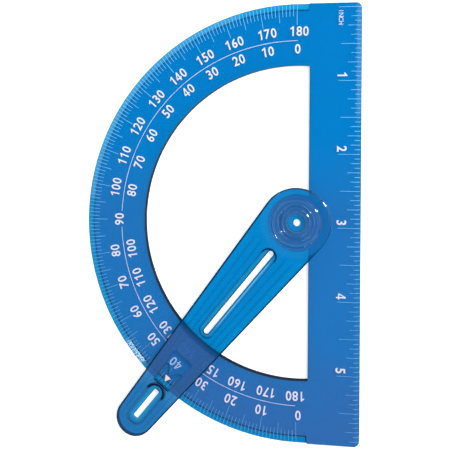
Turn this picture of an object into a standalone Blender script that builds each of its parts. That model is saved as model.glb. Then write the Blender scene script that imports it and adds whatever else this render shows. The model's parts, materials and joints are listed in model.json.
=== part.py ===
"""Half-circle plastic goniometer with a ruler edge and a swing arm.

Units are metres. +X runs from the arc to the ruler edge, +Y along the ruler and
+Z up from the table. The plate lies on z = 0, and the arm turns about the vertical
axis of a hollow rivet at the centre of the arc.
"""
import math

import bmesh
import bpy

MM = 0.001

# Plate: half a disc joined to a straight ruler, measured from the pivot axis
LENGTH = 152.4 * MM
ARC_RADIUS = LENGTH / 2
ARC_INNER_RADIUS = 54.75 * MM
ARC_WALL_LEAN = 0.3 * MM
ARC_WALL_SHIFT = 0.2 * MM
RULER_EDGE = 22.0 * MM
BAR_INNER_EDGE = 4.2 * MM
PLATE_THICKNESS = 2.0 * MM
CORNER_RADIUS = 1.7 * MM
LUG_RADIUS = 10.0 * MM
PLATE_EDGE_BREAK = 0.15 * MM

# Sloped rim that carries the degree ticks, and the sloped ruler edge
RIM_WIDTH = 2.5 * MM
RIM_STEP_WIDTH = 0.2 * MM
RIM_STEP_DEPTH = 0.3 * MM
RIM_EDGE_THICKNESS = 0.9 * MM
RIM_END_AT_CREASE = 3.4 * MM
RIM_END_AT_EDGE = 4.2 * MM
RULER_SLOPE_WIDTH = 1.6 * MM
RULER_EDGE_THICKNESS = 1.0 * MM

# Swing arm, measured along its own axis from the pivot towards the tip
ARM_READING = math.radians(39.1)
ARM_LIFT = 2.3 * MM
ARM_THICKNESS = 2.0 * MM
ARM_HEAD_RADIUS = 12.2 * MM
ARM_TIP_RADIUS = 6.85 * MM
ARM_TIP_DISTANCE = 90.5 * MM
ARM_EDGE_ROUND = 0.3 * MM

# Slots: a sunk border with a sloped wall, and a narrow slit through its floor
LONG_BORDER = (15.4 * MM, 49.4 * MM, 2.9 * MM)
LONG_SLIT = (14.0 * MM, 50.0 * MM, 1.0 * MM)
LONG_FLOOR_THICKNESS = 0.8 * MM
SHORT_BORDER = (79.4 * MM, 90.0 * MM, 3.1 * MM)
SHORT_SLIT = (78.0 * MM, 91.0 * MM, 0.95 * MM)
SHORT_SLIT_CORNER = 0.4 * MM
SHORT_FLOOR_THICKNESS = 1.0 * MM
BORDER_WALL_WIDTH = 0.4 * MM

# Reading window: a pocket whose thin floor ends in a pointer
WINDOW = (62.4 * MM, 75.5 * MM, 4.1 * MM)
WINDOW_END_HALF_WIDTH = 3.4 * MM
WINDOW_CORNER = 0.4 * MM
WINDOW_LEDGE = 0.2 * MM
WEB_THICKNESS = 0.7 * MM
WEB_EDGE = 68.4 * MM
WEB_SHOULDER = 2.5 * MM
POINTER_NECK = 70.9 * MM
POINTER_NECK_HALF = 0.5 * MM
POINTER_BASE = 71.6 * MM
POINTER_BASE_HALF = 1.25 * MM
POINTER_TIP = 73.8 * MM

# Hub: rings sunk into the arm's head, and the hollow rivet through both pieces
HUB_RINGS = ((8.8 * MM, 0.25 * MM), (6.7 * MM, 0.6 * MM), (5.5 * MM, 1.1 * MM))
HUB_RING_SLOPE = 0.15 * MM
ARM_BORE = 4.15 * MM
PLATE_BORE = 4.1 * MM
PLATE_COUNTERBORE = 5.2 * MM
PLATE_COUNTERBORE_DEPTH = 0.95 * MM
RIVET_HEAD_RADIUS = 5.25 * MM
RIVET_HEAD_LOW = 3.4 * MM
RIVET_HEAD_TOP = 4.05 * MM
RIVET_BARREL_RADIUS = 3.9 * MM
RIVET_WALL = 0.8 * MM
RIVET_BASE = 0.15 * MM
RIVET_FLOOR_THICKNESS = 1.15 * MM
RIVET_BEAD_RADIUS = 4.9 * MM
RIVET_BEAD_TOP = 0.7 * MM
RIVET_HOLE_RADIUS = 1.2 * MM
RIVET_EDGE = 0.2 * MM

ARC_STEP = math.radians(2)
TURNED_STEPS = 48
CLEAR = 1.0 * MM
WELD = 1e-7

# The origin is under the middle of the whole object, so the pivot is off it
ARM_ANGLE = math.radians(270) - ARM_READING
ARM_LOWEST = -ARM_TIP_DISTANCE * math.cos(ARM_READING) - ARM_TIP_RADIUS
PIVOT_X = (ARC_RADIUS - RULER_EDGE) / 2
PIVOT_Y = -(LENGTH / 2 + min(-LENGTH / 2, ARM_LOWEST)) / 2


def clear_scene():
    for item in list(bpy.data.objects):
        bpy.data.objects.remove(item)


def new_collection(name):
    collection = bpy.data.collections.new(name)
    bpy.context.scene.collection.children.link(collection)
    return collection


def plastic(name, colour, roughness):
    material = bpy.data.materials.new(name)
    material.use_nodes = True
    shader = material.node_tree.nodes["Principled BSDF"]
    shader.inputs["Base Color"].default_value = (*colour, 1.0)
    shader.inputs["Roughness"].default_value = roughness
    shader.inputs["Metallic"].default_value = 0.0
    return material


def axis_empty(name, collection, turn):
    """An empty on the pivot axis, which carries the pieces that turn together."""
    empty = bpy.data.objects.new(name, None)
    empty.location = (PIVOT_X, PIVOT_Y, 0.0)
    empty.rotation_euler.z = turn
    collection.objects.link(empty)
    return empty


def place(name, mesh, collection, parent):
    item = bpy.data.objects.new(name, mesh)
    collection.objects.link(item)
    item.parent = parent
    return item


def as_cutter(item):
    item.hide_render = True
    item.display_type = "WIRE"
    return item


def combine(target, other, operation):
    step = target.modifiers.new(other.name, "BOOLEAN")
    step.operation = operation
    step.solver = "EXACT"
    step.object = other


def arc(x, y, radius, start, end, step=ARC_STEP):
    """Points along an arc, both ends included."""
    count = max(2, round(abs(end - start) / step))
    angles = [start + (end - start) * i / count for i in range(count + 1)]
    return [(x + radius * math.cos(a), y + radius * math.sin(a)) for a in angles]


def stadium(start, end, half_width):
    """A slot outline whose two round ends are centred at start and end."""
    quarter = math.pi / 2
    step = math.radians(12)
    far = arc(end, 0, half_width, -quarter, quarter, step)
    near = arc(start, 0, half_width, quarter, 3 * quarter, step)
    return far + near


def rounded_box(start, end, half_width, radius):
    quarter = math.pi / 2
    step = math.radians(22.5)
    corners = (
        (end - radius, -half_width + radius, -quarter),
        (end - radius, half_width - radius, 0.0),
        (start + radius, half_width - radius, quarter),
        (start + radius, -half_width + radius, 2 * quarter),
    )
    points = []
    for x, y, turn in corners:
        points += arc(x, y, radius, turn, turn + quarter, step)
    return points


def flat_mesh(name, loops, low, high):
    """A flat outline with any holes, thickened from low to high, as one closed mesh."""
    curve = bpy.data.curves.new(name, "CURVE")
    curve.dimensions = "2D"
    curve.fill_mode = "BOTH"
    curve.extrude = (high - low) / 2
    for loop in loops:
        spline = curve.splines.new("POLY")
        spline.points.add(len(loop) - 1)
        spline.use_cyclic_u = True
        for point, (x, y) in zip(spline.points, loop):
            point.co = (x, y, 0.0, 1.0)
    guide = bpy.data.objects.new(name, curve)
    bpy.context.scene.collection.objects.link(guide)
    evaluated = guide.evaluated_get(bpy.context.evaluated_depsgraph_get())
    mesh = bpy.data.meshes.new_from_object(evaluated)
    bpy.data.objects.remove(guide)
    body = bmesh.new()
    body.from_mesh(mesh)
    bmesh.ops.remove_doubles(body, verts=body.verts, dist=WELD)
    bmesh.ops.translate(body, verts=body.verts, vec=(0, 0, (low + high) / 2))
    bmesh.ops.recalc_face_normals(body, faces=body.faces)
    body.to_mesh(mesh)
    body.free()
    mesh.name = name
    return mesh


def round_rims(mesh, width, segments):
    """Round the edges between the flat faces and the walls of a flat mesh."""
    body = bmesh.new()
    body.from_mesh(mesh)
    flat = [f for f in body.faces if abs(f.normal.z) > 0.9]
    rims = {e for f in flat for e in f.edges if any(abs(g.normal.z) < 0.1 for g in e.link_faces)}
    bmesh.ops.bevel(
        body,
        geom=list(rims),
        offset=width,
        offset_type="OFFSET",
        affect="EDGES",
        segments=segments,
        profile=0.5,
        material=-1,
        clamp_overlap=True,
    )
    body.to_mesh(mesh)
    body.free()


def turned(name, profile, closed, collection, parent):
    """Turn a profile of (radius, height) about the pivot axis; its outer side runs down."""
    mesh = bpy.data.meshes.new(name)
    body = bmesh.new()
    points = [body.verts.new((radius, 0.0, height)) for radius, height in profile]
    for first, second in zip(points, points[1:]):
        body.edges.new((first, second))
    if closed:
        body.edges.new((points[-1], points[0]))
    body.to_mesh(mesh)
    body.free()
    item = place(name, mesh, collection, parent)
    screw = item.modifiers.new("turn", "SCREW")
    screw.axis = "Z"
    screw.angle = 2 * math.pi
    screw.steps = TURNED_STEPS
    screw.render_steps = TURNED_STEPS
    screw.use_merge_vertices = True
    screw.merge_threshold = WELD
    return item


def sunk_cutter(name, outline, top, depth, wall_width, collection, parent):
    """Cutter for a sunk border: its wall slopes in by wall_width over depth."""
    mesh = bpy.data.meshes.new(name)
    body = bmesh.new()
    rim = body.faces.new([body.verts.new((x, y, top)) for x, y in outline])
    rim.normal_update()
    if rim.normal.z > 0:
        rim.normal_flip()
    bmesh.ops.inset_region(
        body,
        faces=[rim],
        thickness=wall_width,
        depth=depth,
        use_boundary=True,
        use_even_offset=True,
    )
    edges = [e for e in body.edges if e.is_boundary]
    raised = bmesh.ops.extrude_edge_only(body, edges=edges)["geom"]
    points = [v for v in raised if isinstance(v, bmesh.types.BMVert)]
    bmesh.ops.translate(body, verts=points, vec=(0, 0, CLEAR))
    bmesh.ops.holes_fill(body, edges=[e for e in body.edges if e.is_boundary], sides=0)
    bmesh.ops.recalc_face_normals(body, faces=body.faces)
    body.to_mesh(mesh)
    body.free()
    return as_cutter(place(name, mesh, collection, parent))


def plate_outline():
    quarter = math.pi / 2
    half = LENGTH / 2
    corner_x = RULER_EDGE - CORNER_RADIUS
    corner_y = half - CORNER_RADIUS
    step = math.radians(15)
    outline = arc(0, 0, ARC_RADIUS, quarter, 3 * quarter)
    outline += arc(corner_x, -corner_y, CORNER_RADIUS, -quarter, 0, step)
    outline += arc(corner_x, corner_y, CORNER_RADIUS, 0, quarter, step)
    return outline


def opening_outline():
    """The half-moon opening, notched by the round lug that carries the pivot."""
    turn = 2 * math.pi
    arc_end = math.acos(BAR_INNER_EDGE / ARC_INNER_RADIUS)
    lug_end = math.acos(BAR_INNER_EDGE / LUG_RADIUS)
    outline = arc(0, 0, ARC_INNER_RADIUS, arc_end, turn - arc_end)
    outline += arc(0, 0, LUG_RADIUS, turn - lug_end, lug_end, math.radians(6))
    return outline


def rim_cutter(cutters, parent):
    """Ring that slopes the arc's rim down to its edge, stopped just past the baseline."""
    fall = PLATE_THICKNESS - RIM_STEP_DEPTH - RIM_EDGE_THICKNESS
    slope = fall / (RIM_WIDTH - RIM_STEP_WIDTH)
    crease = ARC_RADIUS - RIM_WIDTH
    outside = ARC_RADIUS + CLEAR
    top = PLATE_THICKNESS + CLEAR
    profile = (
        (outside, top),
        (outside, RIM_EDGE_THICKNESS - slope * CLEAR),
        (crease + RIM_STEP_WIDTH, PLATE_THICKNESS - RIM_STEP_DEPTH),
        (crease, PLATE_THICKNESS),
        (crease, top),
    )
    ring = turned("rim_cutter", profile, True, cutters, parent)
    steps = round(2 * math.pi / ARC_STEP)
    ring.modifiers["turn"].steps = steps
    ring.modifiers["turn"].render_steps = steps
    lean = (RIM_END_AT_EDGE - RIM_END_AT_CREASE) / RIM_WIDTH
    middle = RIM_END_AT_EDGE - lean * ARC_RADIUS
    reach = ARC_RADIUS + 2 * CLEAR
    end = middle + lean * reach
    limit_outline = [(-reach, -reach), (end, -reach), (middle, 0), (end, reach), (-reach, reach)]
    limit_mesh = flat_mesh("rim_limit", [limit_outline], -CLEAR, 2 * top)
    limit = as_cutter(place("rim_limit", limit_mesh, cutters, parent))
    combine(ring, limit, "INTERSECT")
    return as_cutter(ring)


def ruler_cutter(cutters, parent):
    """Wedge that slopes the top of the ruler down to its edge."""
    fall = PLATE_THICKNESS - RULER_EDGE_THICKNESS
    inside = RULER_EDGE - RULER_SLOPE_WIDTH
    outside = RULER_EDGE + CLEAR
    low = PLATE_THICKNESS - fall * (RULER_SLOPE_WIDTH + CLEAR) / RULER_SLOPE_WIDTH
    top = PLATE_THICKNESS + CLEAR
    section = [(inside, PLATE_THICKNESS), (outside, low), (outside, top), (inside, top)]
    reach = LENGTH / 2 + CLEAR
    wedge = place("ruler_cutter", flat_mesh("ruler_cutter", [section], -reach, reach), cutters, parent)
    wedge.rotation_euler.x = math.pi / 2
    return as_cutter(wedge)


def lean_arc_wall(mesh):
    """Lean the arc's inner wall inwards towards the table, more beside the zero."""
    body = bmesh.new()
    body.from_mesh(mesh)
    low_ring = [
        v
        for v in body.verts
        if v.co.z < PLATE_THICKNESS / 2 and abs(v.co.xy.length - ARC_INNER_RADIUS) < 2 * PLATE_EDGE_BREAK
    ]
    for vert in low_ring:
        vert.co.xy *= 1 - ARC_WALL_LEAN / ARC_INNER_RADIUS
    bmesh.ops.translate(body, verts=low_ring, vec=(0, ARC_WALL_SHIFT, 0))
    body.to_mesh(mesh)
    body.free()


def make_plate(parts, cutters, parent, finish):
    mesh = flat_mesh("protractor_body", [plate_outline(), opening_outline()], 0.0, PLATE_THICKNESS)
    round_rims(mesh, PLATE_EDGE_BREAK, 1)
    lean_arc_wall(mesh)
    plate = place("protractor_body", mesh, parts, parent)
    bore_profile = (
        (0, PLATE_THICKNESS + CLEAR),
        (PLATE_BORE, PLATE_THICKNESS + CLEAR),
        (PLATE_BORE, PLATE_COUNTERBORE_DEPTH),
        (PLATE_COUNTERBORE, PLATE_COUNTERBORE_DEPTH),
        (PLATE_COUNTERBORE, -CLEAR),
        (0, -CLEAR),
    )
    bore = as_cutter(turned("plate_bore_cutter", bore_profile, False, cutters, parent))
    combine(plate, rim_cutter(cutters, parent), "DIFFERENCE")
    combine(plate, ruler_cutter(cutters, parent), "DIFFERENCE")
    combine(plate, bore, "DIFFERENCE")
    plate.data.materials.append(finish)
    return plate


def arm_outline():
    """The head and tip circles and the two straight edges that touch both."""
    lean = math.asin((ARM_HEAD_RADIUS - ARM_TIP_RADIUS) / ARM_TIP_DISTANCE)
    touch = math.pi / 2 - lean
    step = math.radians(5)
    head = arc(0, 0, ARM_HEAD_RADIUS, touch, 2 * math.pi - touch, step)
    tip = arc(ARM_TIP_DISTANCE, 0, ARM_TIP_RADIUS, -touch, touch, step)
    return head + tip


def window_half_width(along):
    """The window narrows with the arm, from WINDOW's half-width at its start."""
    share = (along - WINDOW[0]) / (WINDOW[1] - WINDOW[0])
    return WINDOW[2] + share * (WINDOW_END_HALF_WIDTH - WINDOW[2])


def window_outline():
    outline = rounded_box(*WINDOW, WINDOW_CORNER)
    return [(x, y * window_half_width(x) / WINDOW[2]) for x, y in outline]


def window_opening():
    """The open part of the window, notched by the web, its neck and the pointer."""
    end = WINDOW[1] - WINDOW_LEDGE
    half = window_half_width(end) - WINDOW_LEDGE
    web_side = [
        (WEB_EDGE, window_half_width(WEB_EDGE) - WINDOW_LEDGE),
        (WEB_EDGE, WEB_SHOULDER),
        (POINTER_NECK, POINTER_NECK_HALF),
        (POINTER_BASE, POINTER_NECK_HALF),
        (POINTER_BASE, POINTER_BASE_HALF),
    ]
    other_side = [(x, -y) for x, y in reversed(web_side)]
    return [(end, -half), (end, half)] + web_side + [(POINTER_TIP, 0.0)] + other_side


def hub_cutter(cutters, parent):
    """Stepped rings sunk into the arm's head, with the bore for the rivet."""
    top = ARM_LIFT + ARM_THICKNESS
    profile = [(0, top + CLEAR)]
    height = top
    for radius, depth in HUB_RINGS:
        over = CLEAR if height == top else 0.0
        profile.append((radius + HUB_RING_SLOPE, height + over))
        if over:
            profile.append((radius + HUB_RING_SLOPE, height))
        height = top - depth
        profile.append((radius, height))
    profile += [(ARM_BORE, height), (ARM_BORE, ARM_LIFT - CLEAR), (0, ARM_LIFT - CLEAR)]
    return as_cutter(turned("hub_cutter", profile, False, cutters, parent))


def make_arm(parts, cutters, parent, finish):
    top = ARM_LIFT + ARM_THICKNESS
    below = ARM_LIFT - CLEAR
    mesh = flat_mesh("swing_arm", [arm_outline()], ARM_LIFT, top)
    round_rims(mesh, ARM_EDGE_ROUND, 2)
    arm = place("swing_arm", mesh, parts, parent)
    combine(arm, hub_cutter(cutters, parent), "DIFFERENCE")

    borders = (
        ("long_border", LONG_BORDER, LONG_FLOOR_THICKNESS),
        ("short_border", SHORT_BORDER, SHORT_FLOOR_THICKNESS),
    )
    for name, border, floor in borders:
        depth = ARM_THICKNESS - floor
        sunk = sunk_cutter(name, stadium(*border), top, depth, BORDER_WALL_WIDTH, cutters, parent)
        combine(arm, sunk, "DIFFERENCE")

    through = (
        ("long_slit", stadium(*LONG_SLIT)),
        ("short_slit", rounded_box(*SHORT_SLIT, SHORT_SLIT_CORNER)),
        ("window_opening", window_opening()),
    )
    web_top = ARM_LIFT + WEB_THICKNESS
    pocket_mesh = flat_mesh("window_pocket", [window_outline()], web_top, top + CLEAR)
    pocket = as_cutter(place("window_pocket", pocket_mesh, cutters, parent))
    combine(arm, pocket, "DIFFERENCE")
    for name, outline in through:
        cutter_mesh = flat_mesh(name, [outline], below, top + CLEAR)
        combine(arm, as_cutter(place(name, cutter_mesh, cutters, parent)), "DIFFERENCE")
    arm.data.materials.append(finish)
    return arm


def make_rivet(parts, parent, finish):
    """Hollow snap rivet: a head in the arm, a barrel, a floor with the centre hole."""
    inside = RIVET_BARREL_RADIUS - RIVET_WALL
    floor_top = RIVET_BASE + RIVET_FLOOR_THICKNESS
    profile = (
        (RIVET_HEAD_RADIUS - RIVET_EDGE, RIVET_HEAD_TOP),
        (RIVET_HEAD_RADIUS, RIVET_HEAD_TOP - RIVET_EDGE),
        (RIVET_HEAD_RADIUS, RIVET_HEAD_LOW),
        (RIVET_BARREL_RADIUS, RIVET_HEAD_LOW),
        (RIVET_BARREL_RADIUS, RIVET_BEAD_TOP),
        (RIVET_BEAD_RADIUS - RIVET_EDGE, RIVET_BEAD_TOP),
        (RIVET_BEAD_RADIUS, RIVET_BEAD_TOP - RIVET_EDGE),
        (RIVET_BARREL_RADIUS, RIVET_BASE),
        (RIVET_HOLE_RADIUS + RIVET_EDGE, RIVET_BASE),
        (RIVET_HOLE_RADIUS, RIVET_BASE + RIVET_EDGE),
        (RIVET_HOLE_RADIUS, floor_top - RIVET_EDGE),
        (RIVET_HOLE_RADIUS + RIVET_EDGE, floor_top),
        (inside - 2 * RIVET_EDGE, floor_top),
        (inside, floor_top + 2 * RIVET_EDGE),
        (inside, RIVET_HEAD_TOP - RIVET_EDGE),
        (inside + RIVET_EDGE, RIVET_HEAD_TOP),
    )
    rivet = turned("pivot_rivet", profile, True, parts, parent)
    rivet.data.materials.append(finish)
    return rivet


def main():
    clear_scene()
    parts = new_collection("goniometer")
    cutters = new_collection("cutters")
    plate_axis = axis_empty("plate_axis", parts, 0.0)
    arm_axis = axis_empty("arm_axis", parts, ARM_ANGLE)
    plate_blue = plastic("plate_blue", (0.02, 0.16, 0.44), 0.12)
    arm_blue = plastic("arm_blue", (0.01, 0.17, 0.42), 0.10)
    rivet_blue = plastic("rivet_blue", (0.02, 0.14, 0.38), 0.10)
    make_plate(parts, cutters, plate_axis, plate_blue)
    make_arm(parts, cutters, arm_axis, arm_blue)
    make_rivet(parts, plate_axis, rivet_blue)


main()
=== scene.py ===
"""Half-circle goniometer in clear blue plastic: its dress, print, lamps and camera."""

import json
import math

import bmesh
import bpy
from mathutils import Matrix, Vector


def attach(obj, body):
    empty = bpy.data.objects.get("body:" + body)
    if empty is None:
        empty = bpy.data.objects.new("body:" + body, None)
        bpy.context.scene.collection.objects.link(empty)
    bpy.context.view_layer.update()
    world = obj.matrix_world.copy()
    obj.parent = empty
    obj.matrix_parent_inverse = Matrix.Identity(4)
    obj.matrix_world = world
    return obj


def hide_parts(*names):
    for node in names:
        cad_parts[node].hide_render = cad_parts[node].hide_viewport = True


bl_info = {
    "name": "Goniometer",
    "version": (1, 0, 0),
    "blender": (4, 5, 0),
    "location": "3D View > Sidebar > Goniometer",
    "description": "Dresses the half-circle goniometer, with its scales, swing arm and studio",
    "category": "Add Mesh",
}

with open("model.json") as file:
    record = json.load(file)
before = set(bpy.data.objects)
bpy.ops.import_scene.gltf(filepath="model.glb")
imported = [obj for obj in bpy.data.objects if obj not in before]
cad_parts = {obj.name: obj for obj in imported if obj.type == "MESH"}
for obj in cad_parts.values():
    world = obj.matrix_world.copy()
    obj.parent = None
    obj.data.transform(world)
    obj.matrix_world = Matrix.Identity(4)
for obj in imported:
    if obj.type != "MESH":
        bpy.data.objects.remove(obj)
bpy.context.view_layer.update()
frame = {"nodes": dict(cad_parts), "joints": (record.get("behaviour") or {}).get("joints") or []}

MM = 0.001
PIVOT = Vector((*frame["joints"][0]["pos_m"][:2], 0.0))
ARM_READING = math.radians(39.1)
ARM_TURN = math.radians(270) - ARM_READING

PLATE_TOP = 2.0 * MM
CREASE_RADIUS = 73.7 * MM
CREASE_OUTER = 73.9 * MM
CREASE_LOW = 1.7 * MM
ARC_RADIUS = 76.2 * MM
ARC_EDGE_TOP = 0.9 * MM
DEGREE_LINE_STARTS = {10: 68.75 * MM, 5: 69.8 * MM, 1: 71.75 * MM}
DEGREE_LINE_END = 75.85 * MM
ARC_LINE_RADIUS = 63.3 * MM
ARC_LINE_SPANS = ((0.0, 87.4), (92.6, 180.0))
SCALE_OFFSET = 0.22  # degrees by which the printed lines are turned back
# Where the rows of figures run, and how far single figures are printed off their line, in mm.
OUTER_ROW = 66.6
INNER_ROW = 60.45
INNER_ROW_START = 60.0
MIDDLE_FIGURE = 64.2
OUTER_NUDGE = 0.05
INNER_NUDGE = -0.15
OUTER_NUDGES = {0: -1.0, 10: 0.3, 100: -0.15, 130: 0.45, 150: 0.35, 160: 0.35, 170: 0.8, 180: 0.5}
INNER_NUDGES = {130: -0.5, 180: 0.0, 10: 0.0, 0: 0.0}

RULER_EDGE = 22.0 * MM
RULER_CREASE = 20.4 * MM
RULER_EDGE_TOP = 1.0 * MM
RULER_ZERO = 74.75 * MM
RULER_LINE_STARTS = {16: 14.2, 8: 15.0, 4: 17.4, 2: 18.5, 1: 19.85}
RULER_LINE_END = 21.8 * MM
RULER_LINES = 95
INCH = 25.4 * MM

ARM_LENGTH = 90.5 * MM
ARM_HEAD = 12.2 * MM
ARM_TIP = 6.85 * MM
LONG_BORDER = (15.4 * MM, 49.4 * MM, 2.9 * MM)
LONG_SLIT = (14.0 * MM, 50.0 * MM, 1.0 * MM)
SHORT_BORDER = (79.4 * MM, 90.0 * MM, 3.1 * MM)
SHORT_SLIT = (78.9 * MM, 90.1 * MM, 0.95 * MM)
WINDOW = (62.4 * MM, 75.5 * MM)
WINDOW_HALF_WIDTHS = (4.1 * MM, 3.4 * MM)
WEB_TOP = 3.0 * MM
POINTER = ((71.65, -1.25), (73.75, 0.0), (71.65, 1.25))
PAINT_HEIGHT = 0.06 * MM
HUB_RADIUS = 8.6 * MM

RIDGE_ROUNDING = 0.5 * MM
RIDGE_HALF_WIDTH = 0.22 * MM
# Radius and foot of each ridge in mm, and where an open one starts and how far it runs, in degrees.
HUB_RIDGES = ((11.85, 4.3, -24.0, 150.0), (8.35, 4.05), (6.25, 3.7))
RIVET_RIDGES = ((4.75, 4.05),)

FLOOR_RADIUS = 3.0
FLOOR_DROP = 0.1 * MM
FLOOR_GLOW = 0.58
CAMERA_FROM_PIVOT = (42.48, 25.98, 328.66)  # mm
CAMERA_VIEW = (-0.20389, 0.00753, -0.97896)
CAMERA_UP = (-0.00626, 0.99994, 0.00899)
CAMERA_SHIFT = -0.1882

# Figures drawn for a height of 1: each one's outline, then its holes.
OUTLINES = {
    "1": (
        (
            (0.12, -0.5), (0.12, 0.5), (0.01, 0.5), (-0.07, 0.40),
            (-0.24, 0.30), (-0.24, 0.16), (-0.03, 0.26), (-0.03, -0.5),
        ),
    ),
    "4": (
        (
            (0.17, -0.5), (0.17, -0.28), (0.29, -0.28), (0.29, -0.15), (0.17, -0.15), (0.17, 0.5),
            (0.03, 0.5), (-0.31, -0.14), (-0.31, -0.28), (0.03, -0.28), (0.03, -0.5),
        ),
        ((0.03, -0.15), (0.03, 0.26), (-0.18, -0.15)),
    ),
}

FROM_PIVOT = {"location": tuple(PIVOT), "rotation": (0.0, 0.0, 0.0)}
ALONG_ARM = {"location": tuple(PIVOT), "rotation": (0.0, 0.0, ARM_TURN)}


def colour_prop(name, description, default):
    return bpy.props.FloatVectorProperty(
        name=name,
        description=description,
        default=default,
        subtype="COLOR",
        size=3,
        min=0.0,
        max=1.0,
    )


def length_prop(name, description, default):
    return bpy.props.FloatProperty(
        name=name, description=description, default=default, unit="LENGTH", min=0.0
    )


def power_prop(name, description, default):
    return bpy.props.FloatProperty(
        name=name, description=description, default=default, unit="POWER", min=0.0
    )


class PlasticLook(bpy.types.PropertyGroup):
    """Colours of the clear blue plastic, each for a single surface, with the blue of its painted
    shade.
    """

    tint_top: colour_prop(
        "Tint, top", "Light that one surface lets through at the top", (0.04, 0.503, 0.750)
    )
    tint_low: colour_prop(
        "Tint, bottom", "Light that one surface lets through at the bottom", (0.109, 0.383, 0.612)
    )
    haze_top: colour_prop(
        "Haze, top", "Colour of the light that is scattered at the top", (0.0, 0.30, 0.75)
    )
    haze_low: colour_prop(
        "Haze, bottom", "Colour of the light that is scattered at the bottom", (0.12, 0.30, 0.75)
    )
    rim_tint_top: colour_prop(
        "Rim tint, top", "Light that the sloped rim lets through at the top", (0.14, 0.645, 0.835)
    )
    rim_tint_low: colour_prop(
        "Rim tint, bottom", "Light that the rim lets through at the bottom", (0.01, 0.525, 0.73)
    )
    arm_tint: colour_prop(
        "Arm tint", "Light that one surface of the arm lets through", (0.04, 0.53, 0.765)
    )
    arm_tip_tint: colour_prop(
        "Arm tint, tip", "Light that the arm's tip lets through", (0.075, 0.433, 0.646)
    )
    arm_haze: colour_prop(
        "Arm haze", "Colour of the light that the arm and its head scatter", (0.14, 0.38, 0.78)
    )
    hub_tint: colour_prop(
        "Hub tint", "Light that one surface of the arm's hub lets through", (0.2, 0.79, 0.927)
    )
    ledge_tint: colour_prop(
        "Ledge tint", "Light that the slots' thin ledges let through", (0.15, 0.56, 0.74)
    )
    # Painted highlight: the light blue painted along one side of the long slot's ledge; the ridges
    # also take it in random specks.
    gleam_tint: colour_prop(
        "Gleam", "Light blue of the long slot's lit ledge and of the ridges", (0.45, 0.75, 0.95)
    )
    web_tint: colour_prop(
        "Web tint", "Light that the window's thin web lets through", (0.94, 0.99, 1.0)
    )
    web_haze: colour_prop(
        "Web haze", "Colour of the light that the window's web scatters", (0.04, 0.36, 1.0)
    )
    # Painted shade: the blue painted on walls, creases, edges, hub steps and slot ends where shade
    # falls; the arm's lengthwise streaks use it too.
    deep: colour_prop(
        "Deep blue", "Colour of the walls and creases seen edge on", (0.001, 0.014, 0.05)
    )
    haze: bpy.props.FloatProperty(
        name="Haze",
        description="Share of the light that one surface scatters",
        default=0.2,
        min=0.0,
        max=1.0,
        subtype="FACTOR",
    )


class PrintLook(bpy.types.PropertyGroup):
    """Sizes and colours of the printed scales."""

    line: length_prop("Line width", "Width of a scale line", 0.2 * MM)
    figure: length_prop("Figure height", "Height of the degree figures", 3.4 * MM)
    ruler_figure: length_prop("Ruler figure height", "Height of the inch figures", 3.4 * MM)
    unit_figure: length_prop("Unit height", "Height of the unit's capitals", 1.6 * MM)
    ink_height: length_prop("Ink height", "How far the ink stands above the plastic", 0.03 * MM)
    ink: colour_prop("Ink", "Colour of the printed figures", (0.85, 0.81, 0.95))
    ink_low: colour_prop("Ink, bottom", "Colour of the figures at the bottom", (0.70, 0.67, 0.88))
    fine_ink: colour_prop("Fine ink", "Colour of the fine lines at the top", (0.16, 0.51, 0.87))
    fine_ink_low: colour_prop(
        "Fine ink, bottom", "Colour of the fine lines at the bottom", (0.09, 0.29, 0.60)
    )
    paint: colour_prop("Pointer paint", "Colour of the paint on the pointer", (0.88, 0.74, 0.74))


class StudioLook(bpy.types.PropertyGroup):
    """Floor, lamps and camera."""

    floor: colour_prop("Floor", "Colour of the floor", (0.80, 0.80, 0.80))
    key: power_prop("Key lamp", "Power of the key lamp", 2.9)
    fill: power_prop("Fill lamp", "Power of each fill lamp", 3.8)
    spark: power_prop("Small lamp", "Power of the small lamp that glints on the hub", 4.3)
    glint: power_prop("Rim lamp", "Power of the small lamp that glints on the rim", 0.5)
    lens: bpy.props.FloatProperty(
        name="Lens", description="Focal length in millimetres", default=75.7
    )


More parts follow.
